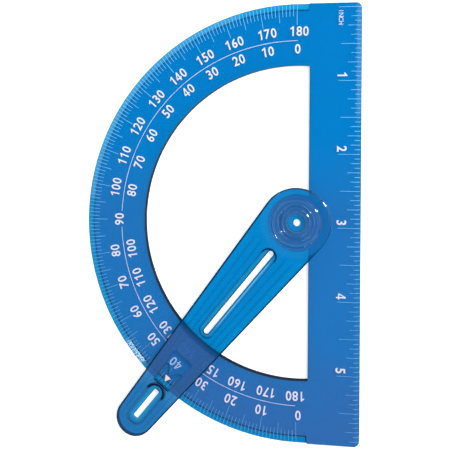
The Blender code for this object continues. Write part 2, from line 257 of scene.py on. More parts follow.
class NodeSheet:
    """The nodes of one material or world, added from left to right."""

    def __init__(self, owner):
        owner.use_nodes = True
        self.tree = owner.node_tree
        self.tree.nodes.clear()

    def add(self, kind, inputs=None, **settings):
        node = self.tree.nodes.new(kind)
        for name, value in settings.items():
            setattr(node, name, value)
        for name, value in (inputs or {}).items():
            self.feed(node.inputs[name], value)
        return node

    def feed(self, socket, value):
        if isinstance(value, bpy.types.NodeSocket):
            self.tree.links.new(value, socket)
        elif hasattr(value, "__len__") and len(value) == 3 and socket.type == "RGBA":
            socket.default_value = (*value, 1.0)
        else:
            socket.default_value = value

    def math(self, operation, first, second=None, clamp=False):
        node = self.add("ShaderNodeMath", operation=operation, use_clamp=clamp)
        self.feed(node.inputs[0], first)
        if second is not None:
            self.feed(node.inputs[1], second)
        return node.outputs[0]

    def ramp(self, value, start, end, low=0.0, high=1.0):
        """Smooth step from low to high as value goes from start to end."""
        inputs = {"Value": value, "From Min": start, "From Max": end, "To Min": low, "To Max": high}
        node = self.add("ShaderNodeMapRange", inputs, interpolation_type="SMOOTHSTEP", clamp=True)
        return node.outputs["Result"]

    def band(self, value, centre, half_width):
        """1 at centre, falling to 0 at half_width on both sides."""
        away = self.math("ABSOLUTE", self.math("SUBTRACT", value, centre))
        return self.ramp(away, 0.0, half_width, 1.0, 0.0)

    def within(self, value, low, high, soft):
        """1 between low and high, with soft edges."""
        rise = self.ramp(value, low - soft, low + soft)
        fall = self.ramp(value, high - soft, high + soft, 1.0, 0.0)
        return self.math("MULTIPLY", rise, fall)

    def blend(self, factor, first, second):
        node = self.add("ShaderNodeMix", data_type="RGBA")
        self.feed(node.inputs[0], factor)
        self.feed(node.inputs[6], first)
        self.feed(node.inputs[7], second)
        return node.outputs[2]

    def length(self, across, along):
        squares = self.math("ADD", self.math("POWER", across, 2.0), self.math("POWER", along, 2.0))
        return self.math("SQRT", squares)

    def place(self, location, rotation):
        """Object coordinates counted from a point of the piece and turned with it."""
        source = self.add("ShaderNodeTexCoord")
        mapping = self.add(
            "ShaderNodeMapping", {"Vector": source.outputs["Object"]}, vector_type="TEXTURE"
        )
        mapping.inputs["Location"].default_value = location
        mapping.inputs["Rotation"].default_value = rotation
        split = self.add("ShaderNodeSeparateXYZ", {"Vector": mapping.outputs["Vector"]})
        return mapping.outputs["Vector"], split.outputs["X"], split.outputs["Y"], split.outputs["Z"]

    def steepness(self, level, steep):
        """0 on a level surface and 1 on a wall."""
        source = self.add("ShaderNodeTexCoord")
        split = self.add("ShaderNodeSeparateXYZ", {"Vector": source.outputs["Normal"]})
        upright = self.math("ABSOLUTE", split.outputs["Z"])
        return self.ramp(upright, steep, level, 1.0, 0.0)

    def scale_add(self, value, factor, offset):
        node = self.add("ShaderNodeMath", operation="MULTIPLY_ADD")
        for socket, part in zip(node.inputs, (value, factor, offset)):
            self.feed(socket, part)
        return node.outputs[0]

    def clear_plastic(self, tint, haze_colour, haze, painted_shade, gloss_roughness, polish=0.04):
        """Tinted see-through plastic with some haze, and a gloss that grows at a glance.

        Light on its way to what lies beneath is tinted less, as it also comes in sideways.
        """
        path = self.add("ShaderNodeLightPath")
        passing = self.math("MULTIPLY", path.outputs["Is Shadow Ray"], 0.5)
        tint = self.blend(passing, tint, (1.0, 1.0, 1.0))
        haze = self.math("MULTIPLY", haze, self.scale_add(passing, -1.0, 1.0))
        clear = self.add("ShaderNodeBsdfTransparent", {"Color": tint})
        hazy = self.add("ShaderNodeBsdfDiffuse", {"Color": haze_colour})
        body = self.add("ShaderNodeMixShader", {"Fac": haze})
        self.tree.links.new(clear.outputs[0], body.inputs[1])
        self.tree.links.new(hazy.outputs[0], body.inputs[2])
        facing = self.add("ShaderNodeLayerWeight", {"Blend": 0.5}).outputs["Facing"]
        glance = self.math("POWER", facing, 5.0)
        share = self.scale_add(glance, 0.9, polish)
        # Where painted shade lies, the gloss is dulled too.
        dulled = self.scale_add(painted_shade, -0.8, 1.0)
        share = self.math("MULTIPLY", share, dulled)
        gloss = self.add("ShaderNodeBsdfGlossy", {"Color": (1.0, 1.0, 1.0)})
        gloss.inputs["Roughness"].default_value = gloss_roughness
        shell = self.add("ShaderNodeMixShader", {"Fac": share})
        self.tree.links.new(body.outputs[0], shell.inputs[1])
        self.tree.links.new(gloss.outputs[0], shell.inputs[2])
        output = self.add("ShaderNodeOutputMaterial")
        self.tree.links.new(shell.outputs[0], output.inputs["Surface"])


def plate_plastic(look):
    """Plate: duller towards the bottom, pale on the sloped rims, with painted shade in the rim's
    crease, at the rim's end and on the walls.
    """
    material = bpy.data.materials.new("plate plastic")
    sheet = NodeSheet(material)
    place, x, y, z = sheet.place(**FROM_PIVOT)
    radius = sheet.length(x, y)
    cloud = sheet.add("ShaderNodeTexNoise", {"Vector": place, "Scale": 60.0, "Detail": 3.0})
    height = sheet.math("ADD", y, sheet.scale_add(cloud.outputs["Fac"], 24 * MM, -12 * MM))
    upper_drift = sheet.ramp(height, 32 * MM, 0.0, 0.0, 0.5)
    drift = sheet.math("ADD", upper_drift, sheet.ramp(height, -30 * MM, -74 * MM, 0.0, 0.5))
    on_arc = sheet.ramp(x, 3.5 * MM, 4.1 * MM, 1.0, 0.0)
    rim = sheet.math("MULTIPLY", sheet.ramp(radius, 74.2 * MM, 74.5 * MM), on_arc)
    upper = sheet.ramp(z, 0.3 * MM, 0.6 * MM)
    # Painted shade: a thin line along the rim's crease, and a stronger patch at the step where the
    # rim ends.
    crease_width = sheet.ramp(y, 20 * MM, -50 * MM, 0.26 * MM, 0.42 * MM)
    crease = sheet.ramp(sheet.math("ADD", radius, crease_width), 73.82 * MM, 73.98 * MM)
    crease = sheet.math("MULTIPLY", crease, sheet.ramp(radius, 73.85 * MM, 74.0 * MM, 1.0, 0.0))
    crease = sheet.math("MULTIPLY", crease, on_arc)
    rim_end = sheet.within(x, 3.6 * MM, 4.0 * MM, 0.1 * MM)
    step = sheet.math("MULTIPLY", rim_end, sheet.ramp(radius, 73.5 * MM, 73.7 * MM))
    step = sheet.math("MULTIPLY", step, sheet.ramp(y, 10 * MM, -10 * MM, 0.2, 1.0))
    crease = sheet.math("MULTIPLY", sheet.math("MAXIMUM", crease, step), upper)
    ruler_slope = sheet.math("MULTIPLY", sheet.ramp(x, 20.5 * MM, 20.8 * MM), 0.3)
    slope = sheet.math("MAXIMUM", rim, ruler_slope)
    # Painted shade on steep walls, weaker past the outer edge.
    outer_edge = sheet.ramp(radius, 75.6 * MM, 75.9 * MM, 1.0, 0.25)
    wall = sheet.math("MULTIPLY", sheet.steepness(0.9, 0.4), outer_edge)
    painted_shade = sheet.math("MAXIMUM", wall, crease)
    # Less painted shade under the arm's head.
    under_head = sheet.ramp(radius, 11.9 * MM, 12.2 * MM, 1.0, 0.0)
    painted_shade = sheet.math("MULTIPLY", painted_shade, sheet.scale_add(under_head, -0.8, 1.0))

    tint = sheet.blend(drift, look.tint_top, look.tint_low)
    rim_tint = sheet.blend(drift, look.rim_tint_top, look.rim_tint_low)
    tint = sheet.blend(slope, tint, rim_tint)
    past_lug = sheet.ramp(radius, 9.3 * MM, 9.9 * MM, 0.1, 0.75)
    tint = sheet.blend(sheet.math("MULTIPLY", under_head, past_lug), tint, look.web_tint)
    tint = sheet.blend(painted_shade, tint, look.deep)
    haze_colour = sheet.blend(drift, look.haze_top, look.haze_low)
    haze_colour = sheet.blend(rim, haze_colour, look.haze_top)
    haze_colour = sheet.blend(under_head, haze_colour, look.arm_haze)
    haze_colour = sheet.blend(painted_shade, haze_colour, look.deep)
    haze = sheet.scale_add(rim, -0.5 * look.haze, look.haze)
    haze = sheet.math("MAXIMUM", haze, sheet.math("MULTIPLY", painted_shade, 0.95))
    sheet.clear_plastic(tint, haze_colour, haze, painted_shade, 0.06)
    return material


def arm_plastic(look):
    """Arm: faint lengthwise streaks, thin pale ledges and window; painted shade on its edges,
    walls, hub steps and slot ends, and where the plate's inner edge runs beneath; painted
    highlights on one ledge of the long slot and at the window's ends.
    """
    material = bpy.data.materials.new("arm plastic")
    sheet = NodeSheet(material)
    _, u, v, _ = sheet.place(**ALONG_ARM)
    share = sheet.math("DIVIDE", u, ARM_LENGTH, clamp=True)
    half_width = sheet.scale_add(share, ARM_TIP - ARM_HEAD, ARM_HEAD)
    off_axis = sheet.length(sheet.math("SUBTRACT", u, sheet.math("MULTIPLY", share, ARM_LENGTH)), v)
    inside = sheet.math("SUBTRACT", half_width, off_axis)
    # Painted shade along the arm's outline, lighter behind the head.
    edge = sheet.ramp(inside, 0.30 * MM, 0.55 * MM, 1.0, 0.0)
    behind = sheet.scale_add(v, 0.78, sheet.math("MULTIPLY", u, -0.63))
    softer_edge = sheet.ramp(behind, 3 * MM, 10 * MM, 1.0, 0.4)

    across = sheet.math("DIVIDE", off_axis, half_width)
    streaks = sheet.math("ADD", sheet.band(across, 0.465, 0.07), sheet.band(across, 0.70, 0.08))
    beyond_hub = sheet.ramp(u, 11 * MM, 15 * MM)
    streaks = sheet.math("MULTIPLY", sheet.math("MULTIPLY", streaks, beyond_hub), 0.11)

    radius = sheet.length(u, v)
    hub = sheet.ramp(radius, HUB_RADIUS, HUB_RADIUS + 1.5 * MM, 1.0, 0.0)
    head_haze = sheet.scale_add(sheet.ramp(radius, 11.9 * MM, 12.4 * MM, 1.0, 0.0), 0.2, 0.0)
    head_haze = sheet.math("MAXIMUM", hub, head_haze)
    # Painted shade: faint rings at the hub's steps.
    ring_shade_bands = [sheet.band(radius, at * MM, 0.35 * MM) for at in (5.8, 7.15, 8.65)]
    ring_shade = sheet.math("ADD", sheet.math("ADD", *ring_shade_bands[:2]), ring_shade_bands[2])
    ring_shade = sheet.math("MULTIPLY", ring_shade, 0.28)
    # Painted shade in the band where the plate's inner edge runs beneath the arm; the haze is taken
    # out of that band.
    clear_band = sheet.within(radius, 52.9 * MM, 55.1 * MM, 0.4 * MM)
    seam_shade = sheet.math("MULTIPLY", clear_band, 0.18)
    # Painted shade on the arm's steep walls, less on the hub.
    wall = sheet.math("MULTIPLY", sheet.steepness(0.92, 0.35), sheet.scale_add(hub, -0.75, 1.0))
    painted_shade = sheet.math("MULTIPLY", sheet.math("MAXIMUM", wall, edge), softer_edge)
    ledges, painted_shade = self_shaded_slot(sheet, u, v, painted_shade, LONG_BORDER, LONG_SLIT, 0.5 * MM, 0.8)
    short_ledge, painted_shade = self_shaded_slot(sheet, u, v, painted_shade, SHORT_BORDER, SHORT_SLIT, 1.0 * MM, 0.1)
    ledges = sheet.math("MAXIMUM", ledges, short_ledge)
    # Painted highlight: a paler line along one side of the long slot's ledge.
    lit_side = sheet.band(v, 1.8 * MM, 0.4 * MM)
    painted_ledge_highlight = sheet.math("MULTIPLY", lit_side, sheet.within(u, 17 * MM, 46 * MM, 2 * MM))
    painted_shade = sheet.math("MAXIMUM", painted_shade, sheet.math("MAXIMUM", ring_shade, seam_shade))
    along = sheet.within(u, WINDOW[0], WINDOW[1], 0.05 * MM)
    narrowing = (WINDOW_HALF_WIDTHS[1] - WINDOW_HALF_WIDTHS[0]) / (WINDOW[1] - WINDOW[0])
    half_window = sheet.scale_add(u, narrowing, WINDOW_HALF_WIDTHS[0] - narrowing * WINDOW[0])
    beside = sheet.math("SUBTRACT", sheet.math("ABSOLUTE", v), half_window)
    web = sheet.math("MULTIPLY", along, sheet.ramp(beside, -0.05 * MM, 0.05 * MM, 1.0, 0.0))

    on_plate = sheet.within(u, 54 * MM, 79 * MM, 2 * MM)
    far_tip = sheet.ramp(u, 70 * MM, 82 * MM)
    tint = sheet.blend(far_tip, look.arm_tint, look.arm_tip_tint)
    tint = sheet.blend(hub, tint, look.hub_tint)
    tint = sheet.blend(streaks, tint, look.deep)
    tint = sheet.blend(ledges, tint, look.ledge_tint)
    tint = sheet.blend(painted_ledge_highlight, tint, look.gleam_tint)
    tint = sheet.blend(web, tint, look.web_tint)
    # Painted light: lighter strips at both ends of the window's web, and a painted highlight along
    # its hub end.
    near_end = sheet.ramp(u, 63.8 * MM, 64.4 * MM, 1.0, 0.0)
    painted_web_end_light = sheet.math("MAXIMUM", near_end, sheet.ramp(u, 74.3 * MM, 74.6 * MM))
    painted_web_end_light = sheet.math("MULTIPLY", painted_web_end_light, web)
    painted_edge_highlight = sheet.math("MULTIPLY", sheet.band(u, 62.75 * MM, 0.35 * MM), web)
    tint = sheet.blend(sheet.math("MULTIPLY", painted_web_end_light, 0.5), tint, look.ledge_tint)
    tint = sheet.blend(painted_shade, tint, look.deep)
    haze_colour = sheet.blend(sheet.math("MULTIPLY", far_tip, 0.6), look.haze_top, look.haze_low)
    whiter = sheet.math("MAXIMUM", on_plate, head_haze)
    haze_colour = sheet.blend(whiter, haze_colour, look.arm_haze)
    haze_colour = sheet.blend(web, haze_colour, look.web_haze)
    haze_colour = sheet.blend(painted_shade, haze_colour, look.deep)
    haze = sheet.scale_add(ledges, -0.8 * look.haze, look.haze)
    haze = sheet.math("MULTIPLY", haze, sheet.scale_add(clear_band, -1.0, 1.0))
    haze = sheet.math("MAXIMUM", sheet.scale_add(web, -0.7 * look.haze, haze), 0.0)
    haze = sheet.math("ADD", haze, sheet.math("MULTIPLY", painted_web_end_light, 0.12))
    haze = sheet.math("ADD", haze, sheet.math("MULTIPLY", painted_edge_highlight, 0.35))
    haze = sheet.math("MAXIMUM", haze, sheet.math("MULTIPLY", painted_shade, 0.95))
    sheet.clear_plastic(tint, haze_colour, haze, painted_shade, 0.05)
    return material


def self_shaded_slot(sheet, u, v, painted_shade, border, slit, shade_width, lip):
    """Where a slot's thin ledge is, and the painted shade round its hub end and along its lip."""
    def distance(start, end):
        nearest = sheet.math("MINIMUM", sheet.math("MAXIMUM", u, start), end)
        return sheet.length(sheet.math("SUBTRACT", u, nearest), v)

    start, end, half_width = border
    floor_reach = half_width - 0.4 * MM
    from_middle = distance(start, end)
    ledge = sheet.ramp(from_middle, 1.4 * MM, floor_reach + 0.1 * MM, 1.0, 0.35)
    inside_wall = sheet.ramp(from_middle, floor_reach, half_width, 1.0, 0.0)
    ledge = sheet.math("MULTIPLY", ledge, inside_wall)
    beyond_hub_end = sheet.ramp(u, start - 0.6 * MM, start + 0.6 * MM)
    in_slot = sheet.ramp(from_middle, half_width, half_width + 0.1 * MM, 1.0, 0.0)
    softened = sheet.math("MULTIPLY", beyond_hub_end, in_slot)
    painted_shade = sheet.math("MULTIPLY", painted_shade, sheet.scale_add(softened, -0.5, 1.0))
    # Painted shade in a band round the slot's hub end.
    shade = sheet.within(from_middle, floor_reach, floor_reach + shade_width, 0.05 * MM)
    hub_side = sheet.ramp(u, start - 0.5 * MM, start + 0.7 * MM, 1.0, 0.0)
    painted_shade = sheet.math("MAXIMUM", painted_shade, sheet.math("MULTIPLY", shade, hub_side))
    from_slit = distance(slit[0], slit[1])
    # Painted shade along the slit's lip.
    lip_line = sheet.within(from_slit, slit[2] - 0.1 * MM, slit[2] + 0.3 * MM, 0.08 * MM)
    return ledge, sheet.math("MAXIMUM", painted_shade, sheet.math("MULTIPLY", lip_line, lip))


def rivet_plastic(look):
    """Rivet: a clear flange and a bright floor, with painted shade on the barrel's ring and on
    steep walls.
    """
    material = bpy.data.materials.new("rivet plastic")
    sheet = NodeSheet(material)
    _, x, y, _ = sheet.place(**FROM_PIVOT)
    radius = sheet.length(x, y)
    # Painted shade on the barrel's ring and on steep walls.
    rings = sheet.math("MAXIMUM", sheet.band(radius, 4.1 * MM, 0.5 * MM), sheet.steepness(0.9, 0.3))
    painted_shade = sheet.math("MULTIPLY", rings, 0.2)
    cup = sheet.ramp(radius, 2.9 * MM, 3.2 * MM, 1.0, 0.0)
    flange = sheet.ramp(radius, 3.8 * MM, 4.1 * MM)
    tint = sheet.blend(flange, look.tint_low, look.hub_tint)
    tint = sheet.blend(cup, tint, sheet.blend(0.4, look.tint_top, look.rim_tint_top))
    tint = sheet.blend(painted_shade, tint, look.deep)
    haze_colour = sheet.blend(sheet.scale_add(cup, -0.8, 1.0), look.haze_top, look.arm_haze)
    sheet.clear_plastic(tint, haze_colour, look.haze, painted_shade, 0.05)
    return material


def ridge_plastic(look):
    """The polished ridges of the hub."""
    material = bpy.data.materials.new("ridge plastic")
    sheet = NodeSheet(material)
    place, *_ = sheet.place(**FROM_PIVOT)
    worn = sheet.add("ShaderNodeTexNoise", {"Vector": place, "Scale": 900.0, "Detail": 2.0})
    tint = sheet.blend(worn.outputs["Fac"], look.hub_tint, look.gleam_tint)
    sheet.clear_plastic(tint, look.arm_haze, 0.1, 0.0, 0.05, polish=0.09)
    return material


def print_ink(name, colour, low_colour, roughness):
    """Screen ink: darker towards the bottom, a little uneven, with a fine grain."""
    material = bpy.data.materials.new(name)
    sheet = NodeSheet(material)
    place, _, y, _ = sheet.place(**FROM_PIVOT)
    grain = sheet.add("ShaderNodeTexNoise", {"Vector": place, "Scale": 2500.0, "Detail": 2.0})
    tone = sheet.blend(sheet.ramp(y, 60 * MM, -80 * MM), colour, low_colour)
    patch = sheet.ramp(grain.outputs["Fac"], 0.3, 0.7, 0.0, 0.12)
    tone = sheet.blend(patch, tone, tuple(0.6 * part for part in colour))
    inputs = {"Base Color": tone, "Roughness": roughness, "Specular IOR Level": 0.3}
    shader = sheet.add("ShaderNodeBsdfPrincipled", inputs)
    bump = sheet.add("ShaderNodeBump", {"Height": grain.outputs["Fac"], "Strength": 0.1})
    bump.inputs["Distance"].default_value = 0.02 * MM
    sheet.tree.links.new(bump.outputs["Normal"], shader.inputs["Normal"])
    output = sheet.add("ShaderNodeOutputMaterial")
    sheet.tree.links.new(shader.outputs[0], output.inputs["Surface"])
    return material


def new_piece(name, body, material, rides_on):
    """Turn a bmesh into a piece that stays in the row's frame."""
    bmesh.ops.remove_doubles(body, verts=body.verts, dist=1e-7)
    bmesh.ops.recalc_face_normals(body, faces=body.faces)
    mesh = bpy.data.meshes.new(name)
    body.to_mesh(mesh)
    body.free()
    mesh.materials.append(material)
    piece = bpy.data.objects.new(name, mesh)
    bpy.context.scene.collection.objects.link(piece)
    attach(piece, rides_on)
    return piece


def dress_node(node, name, material, rides_on):
    """A merged and smoothed copy of a solid, shown in its place."""
    mesh = frame["nodes"][node].data.copy()
    body = bmesh.new()
    body.from_mesh(mesh)
    bmesh.ops.remove_doubles(body, verts=body.verts, dist=1e-6)
    bmesh.ops.dissolve_degenerate(body, edges=body.edges, dist=1e-7)
    bmesh.ops.dissolve_limit(
        body, angle_limit=math.radians(0.05), verts=body.verts, edges=body.edges
    )
    body.to_mesh(mesh)
    body.free()
    if mesh.has_custom_normals:
        mesh.attributes.remove(mesh.attributes["custom_normal"])
    mesh.materials.clear()
    mesh.materials.append(material)
    mesh.shade_smooth()
    mesh.set_sharp_from_angle(angle=math.radians(28))
    piece = bpy.data.objects.new(name, mesh)
    bpy.context.scene.collection.objects.link(piece)
    even = piece.modifiers.new("even shading", "WEIGHTED_NORMAL")
    even.keep_sharp = True
    even.weight = 100
    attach(piece, rides_on)
    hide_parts(node)
    return piece


def ribbon(body, profile, width):
    """Add a thin line: a closed profile in (x, z), pulled sideways by width along y."""
    ends = [body.verts.new((x, -width / 2, z)) for x, z in profile]
    face = body.faces.new(ends)
    pulled = bmesh.ops.extrude_face_region(body, geom=[face], use_keep_orig=True)["geom"]
    moved = [part for part in pulled if isinstance(part, bmesh.types.BMVert)]
    bmesh.ops.translate(body, verts=moved, vec=(0.0, width, 0.0))
    return ends + moved


def over_surface(start, end, creases, ink):
    """Profile of an ink line from start to end that follows the surface's creases."""
    def height(at):
        for (low_x, low_z), (high_x, high_z) in zip(creases, creases[1:]):
            if at <= high_x:
                share = (at - low_x) / (high_x - low_x)
                return low_z + share * (high_z - low_z)
        return creases[-1][1]

    stops = [start] + [x for x, z in creases if start < x < end] + [end]
    upper = [(x, height(x) + ink) for x in stops]
    lower = [(x, height(x) - ink) for x in reversed(stops)]
    return upper + lower


def degree_turn(reading):
    """Rotation that carries +X to a reading on the outer scale, which starts at the bottom."""
    return Matrix.Rotation(math.radians(270 - reading), 4, "Z")


def figures(words, height, narrow, bold, ink):
    """Closed mesh of some figures, their middle at the origin, reading along +X."""
    curve = bpy.data.curves.new(words, "FONT")
    curve.body = words
    curve.align_x = "CENTER"
    curve.resolution_u = 3
    curve.offset = bold
    curve.extrude = 0.01
    guide = bpy.data.objects.new(words, curve)
    bpy.context.scene.collection.objects.link(guide)
    bpy.context.view_layer.update()
    evaluated = guide.evaluated_get(bpy.context.evaluated_depsgraph_get())
    mesh = bpy.data.meshes.new_from_object(evaluated)
    bpy.data.objects.remove(guide)
    body = bmesh.new()
    body.from_mesh(mesh)
    bmesh.ops.remove_doubles(body, verts=body.verts, dist=1e-5)
    low = min(v.co.y for v in body.verts)
    high = max(v.co.y for v in body.verts)
    left = min(v.co.x for v in body.verts)
    right = max(v.co.x for v in body.verts)
    size = height / (high - low)
    bmesh.ops.translate(body, verts=body.verts, vec=(-(left + right) / 2, -(low + high) / 2, 0.0))
    bmesh.ops.scale(body, verts=body.verts, vec=(size * narrow, size, ink / 0.01))
    return body


def outlined_figure(outlines, height, ink):
    """Closed mesh of a figure from its outline and holes, given for a height of 1."""
    body = bmesh.new()
    edges = []
    for outline in outlines:
        loop = [body.verts.new((x * height, y * height, -ink)) for x, y in outline]
        edges += [body.edges.new(pair) for pair in zip(loop, loop[1:] + loop[:1])]
    bmesh.ops.triangle_fill(body, edges=edges, use_beauty=True)
    flat = list(body.faces)
    raised = bmesh.ops.extrude_face_region(body, geom=flat, use_keep_orig=True)["geom"]
    moved = [part for part in raised if isinstance(part, bmesh.types.BMVert)]
    bmesh.ops.translate(body, verts=moved, vec=(0.0, 0.0, 2 * ink))
    return body


def print_label(body, words, height, narrow, bold, ink, placing, pitch=0.68):
    """Add figures to a bmesh one by one, carried to their place on the plate."""
    for index, sign in enumerate(words):
        along = (index - (len(words) - 1) / 2) * pitch * height
        if sign in OUTLINES:
            label = outlined_figure(OUTLINES[sign], height, ink)
        else:
            label = figures(sign, height, narrow, bold, ink)
        step = placing @ Matrix.Translation((along, 0.0, 0.0))
        bmesh.ops.transform(label, matrix=step, verts=label.verts)
        mesh = bpy.data.meshes.new(sign)
        label.to_mesh(mesh)
        label.free()
        body.from_mesh(mesh)
        bpy.data.meshes.remove(mesh)


class GONIOMETER_OT_plate(bpy.types.Operator):
    """Dress the half-circle plate in clear blue plastic."""

    bl_idname = "goniometer.plate"
    bl_label = "Plate"

    def execute(self, context):
        look = context.scene.goniometer_plastic
        dress_node("protractor_body", "plate", plate_plastic(look), "plate")
        return {"FINISHED"}


class GONIOMETER_OT_arm(bpy.types.Operator):
    """Dress the swing arm and paint its pointer."""

    bl_idname = "goniometer.arm"
    bl_label = "Swing arm"

    def execute(self, context):
        scene = context.scene
        dress_node("swing_arm", "arm", arm_plastic(scene.goniometer_plastic), "arm")
        body = bmesh.new()
        tip = body.faces.new([body.verts.new((u * MM, v * MM, WEB_TOP)) for u, v in POINTER])
        raised = bmesh.ops.extrude_face_region(body, geom=[tip], use_keep_orig=True)["geom"]
        moved = [part for part in raised if isinstance(part, bmesh.types.BMVert)]
        bmesh.ops.translate(body, verts=moved, vec=(0.0, 0.0, PAINT_HEIGHT))
        placing = Matrix.Translation(PIVOT) @ Matrix.Rotation(ARM_TURN, 4, "Z")
        bmesh.ops.transform(body, matrix=placing, verts=body.verts)
        paint_colour = scene.goniometer_print.paint
        paint = print_ink("pointer paint", paint_colour, paint_colour, 0.5)
        new_piece("pointer_paint", body, paint, "arm")
        return {"FINISHED"}


def ridge(body, radius, foot, first=0.0, sweep=360.0):
    """Add a low rounded ring or arc round the pivot, spun from its cross-section."""
    section = []
    centre_drop = math.sqrt(RIDGE_ROUNDING**2 - RIDGE_HALF_WIDTH**2)
    for share in (-1.0, -0.6, -0.2, 0.2, 0.6, 1.0):
        across = share * RIDGE_HALF_WIDTH
        rise = math.sqrt(RIDGE_ROUNDING**2 - across**2) - centre_drop
        section.append(body.verts.new((radius + across, 0.0, foot + rise)))
    section.append(body.verts.new((radius, 0.0, foot - 0.1 * MM)))
    turn = Matrix.Rotation(math.radians(first), 4, "Z")
    bmesh.ops.transform(body, matrix=turn, verts=section)
    closed = sweep == 360.0
    if closed:
        parts = section + [body.edges.new(pair) for pair in zip(section, section[1:] + section[:1])]
    else:
        end = body.faces.new(section)
        parts = section + list(end.edges) + [end]
    bmesh.ops.spin(
        body,
        geom=parts,
        cent=(0.0, 0.0, 0.0),
        axis=(0.0, 0.0, 1.0),
        angle=math.radians(sweep),
        steps=round(sweep / 3.75),
        use_duplicate=False,
        use_merge=closed,
    )


class GONIOMETER_OT_rivet(bpy.types.Operator):
    """Dress the hollow rivet at the pivot and lay the hub's rounded ridges."""

    bl_idname = "goniometer.rivet"
    bl_label = "Pivot rivet"

    def execute(self, context):
        look = context.scene.goniometer_plastic
        dress_node("pivot_rivet", "rivet", rivet_plastic(look), "plate")
        material = ridge_plastic(look)
        sets = (
            ("hub_ridges", "arm_blue", "arm", HUB_RIDGES),
            ("rivet_ridges", "rivet_blue", "plate", RIVET_RIDGES),
        )
        for name, slot, rides_on, rings in sets:
            body = bmesh.new()
            for radius, foot, *span in rings:
                ridge(body, radius * MM, foot * MM, *span)
            bmesh.ops.translate(body, verts=body.verts, vec=PIVOT)
            piece = new_piece(name, body, material, rides_on)
            piece.data.shade_smooth()
            piece.data.set_sharp_from_angle(angle=math.radians(50))
        return {"FINISHED"}


class GONIOMETER_OT_degree_marks(bpy.types.Operator):
    """Print the degree lines and the line between the two rows of figures."""

    bl_idname = "goniometer.degree_marks"
    bl_label = "Degree marks"

    def execute(self, context):
        look = context.scene.goniometer_print
        ink = look.ink_height
        creases = [
            (0.0, PLATE_TOP),
            (CREASE_RADIUS, PLATE_TOP),
            (CREASE_OUTER, CREASE_LOW),
            (ARC_RADIUS, ARC_EDGE_TOP),
        ]
        body = bmesh.new()
        for reading in range(181):
            start = next(at for size, at in DEGREE_LINE_STARTS.items() if reading % size == 0)
            line = ribbon(body, over_surface(start, DEGREE_LINE_END, creases, ink), look.line)
            placing = Matrix.Translation(PIVOT) @ degree_turn(reading - SCALE_OFFSET)
            bmesh.ops.transform(body, matrix=placing, verts=line)
        ink_look = print_ink("fine ink", look.fine_ink, look.fine_ink_low, 0.45)
        new_piece("degree_marks", body, ink_look, "plate")

        body = bmesh.new()
        for first, last in ARC_LINE_SPANS:
            self.arc_line(body, first, last, look)
        bmesh.ops.translate(body, verts=body.verts, vec=PIVOT)
        ink_look = print_ink("arc line ink", look.ink, look.ink_low, 0.45)
        new_piece("arc_line", body, ink_look, "plate")
        return {"FINISHED"}

    def arc_line(self, body, first, last, look):
        """A thin line along the arc, spun from its cross-section."""
        half = look.line * 0.4
        ink = look.ink_height
        section = (
            (ARC_LINE_RADIUS - half, PLATE_TOP - ink),
            (ARC_LINE_RADIUS + half, PLATE_TOP - ink),
            (ARC_LINE_RADIUS + half, PLATE_TOP + ink),
            (ARC_LINE_RADIUS - half, PLATE_TOP + ink),
        )
        face = body.faces.new([body.verts.new((x, 0.0, z)) for x, z in section])
        bmesh.ops.transform(body, matrix=degree_turn(first), verts=face.verts)
        bmesh.ops.spin(
            body,
            geom=list(face.verts) + list(face.edges) + [face],
            cent=(0.0, 0.0, 0.0),
            axis=(0.0, 0.0, -1.0),
            angle=math.radians(last - first),
            steps=round((last - first) / 1.5),
            use_duplicate=False,
            use_merge=False,
        )


class GONIOMETER_OT_degree_figures(bpy.types.Operator):
    """Print both rows of degree figures, their tops pointing outwards."""

    bl_idname = "goniometer.degree_figures"
    bl_label = "Degree figures"

    def execute(self, context):
        look = context.scene.goniometer_print
        body = bmesh.new()
        for reading in range(0, 181, 10):
            outer = OUTER_NUDGES.get(reading, OUTER_NUDGE)
            inner = INNER_NUDGES.get(180 - reading, INNER_NUDGE)
            inner_row = INNER_ROW if reading > 10 else INNER_ROW_START
            rows = ((OUTER_ROW, reading, outer), (inner_row, 180 - reading, inner))
            if reading == 90:
                rows = ((MIDDLE_FIGURE, 90, inner),)
            for radius, value, nudge in rows:
                turn = degree_turn(reading + math.degrees(nudge / radius))
                spread = Matrix.Translation(Vector((radius * MM, 0.0, PLATE_TOP)))
                upright = Matrix.Rotation(math.radians(-90), 4, "Z")
                placing = Matrix.Translation(PIVOT) @ turn @ spread @ upright
                print_label(body, str(value), look.figure, 0.9, 0.015, look.ink_height, placing)
        ink_look = print_ink("figure ink", look.ink, look.ink_low, 0.45)
        new_piece("degree_figures", body, ink_look, "plate")
        return {"FINISHED"}


